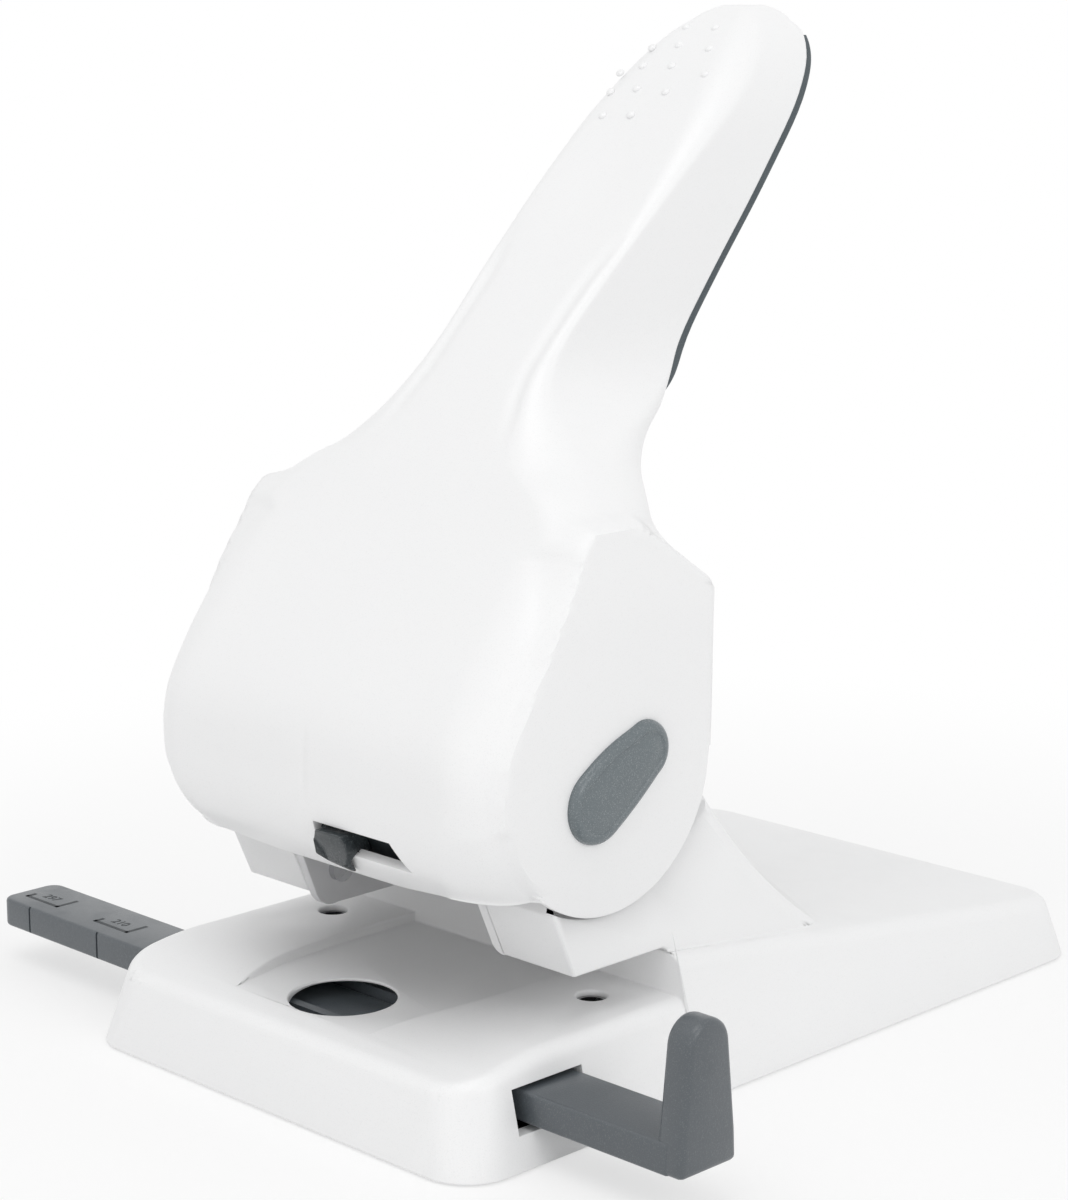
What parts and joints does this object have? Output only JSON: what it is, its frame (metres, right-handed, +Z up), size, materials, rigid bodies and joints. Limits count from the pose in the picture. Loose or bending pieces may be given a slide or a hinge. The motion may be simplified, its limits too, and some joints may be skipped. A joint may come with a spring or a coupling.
{
  "type": "heavy-duty two-hole punch",
  "caption": "Desk paper punch: a long lever on a cross axle drives a beam with round punches down through the paper throat, with a sliding side guide, a lever lock and a chip door underneath.",
  "frame": {"origin": "middle of the base's underside, on the desk", "axes": "+X to the side where the guide's stop stands, -Y the side the paper enters from, +Y the way the handle leans, +Z up"},
  "size_m": [0.2145, 0.2018, 0.2198],
  "materials": {
    "white_plastic": "satin moulded",
    "slate_plastic": "fine grain",
    "slate_rubber": "matte",
    "guide_plastic": "fine grain",
    "grey_steel": "satin",
    "bright_steel": "ground",
    "spring_steel": "bright",
    "plated_steel": "zinc plated",
    "black_steel": "satin"
  },
  "bodies": {
    "base": {"base_housing": "white_plastic", "side_plate_right": "grey_steel", "side_plate_left": "grey_steel", "axle": "bright_steel", "axle_clips": "spring_steel", "catch_plate": "black_steel", "guide_keeper": "slate_plastic", "guide_detent_spring": "spring_steel", "base_plate": "black_steel", "base_pad": "slate_rubber", "base_plate_screws": "plated_steel", "frame_screws": "plated_steel", "die_left": "bright_steel", "die_right": "bright_steel", "guide_bush_left": "bright_steel", "guide_bush_right": "bright_steel", "pin_spring_left": "spring_steel", "pin_spring_right": "spring_steel"},
    "lever": {"lever_shell": "white_plastic", "handle_grip": "slate_rubber", "pivot_cap_right": "slate_plastic", "pivot_cap_left": "slate_plastic", "lever_arm_right": "grey_steel", "lever_arm_left": "grey_steel", "drive_rod": "bright_steel", "handle_rod": "bright_steel"},
    "press": {"press_beam": "black_steel", "punch_pin_left": "bright_steel", "punch_pin_right": "bright_steel"},
    "lock": {"lock_tongue": "slate_plastic", "lock_knob": "slate_plastic"},
    "guide": {"paper_guide": "guide_plastic"},
    "door": {"chip_door": "slate_plastic"}
  },
  "joints": [
    {"name": "lever_hinge", "type": "hinge", "parent": "base", "child": "lever", "pos_m": [0, -0.0537, 0.072], "axis": [-1, 0, 0], "range_deg": [0, 50], "stiffness_Nm_per_rad": 1.2, "springref_deg": -20.05},
    {"name": "beam_slide", "type": "slide", "parent": "base", "child": "press", "axis": [0, 0, -1], "range_m": [0, 0.0134], "deforming": ["pin_spring_left", "pin_spring_right"]},
    {"name": "lock_slide", "type": "slide", "parent": "lever", "child": "lock", "axis": [1, 0, 0], "range_m": [0, 0.012]},
    {"name": "guide_slide", "type": "slide", "parent": "base", "child": "guide", "axis": [1, 0, 0], "range_m": [-0.028, 0.058]},
    {"name": "chip_door_hinge", "type": "hinge", "parent": "base", "child": "door", "pos_m": [0, -0.0122, 0.0027], "axis": [1, 0, 0], "range_deg": [0, 75]}
  ],
  "couplings": [
    {"joint": "beam_slide", "follows": "lever_hinge", "m_per_rad": 0.015241}
  ]
}
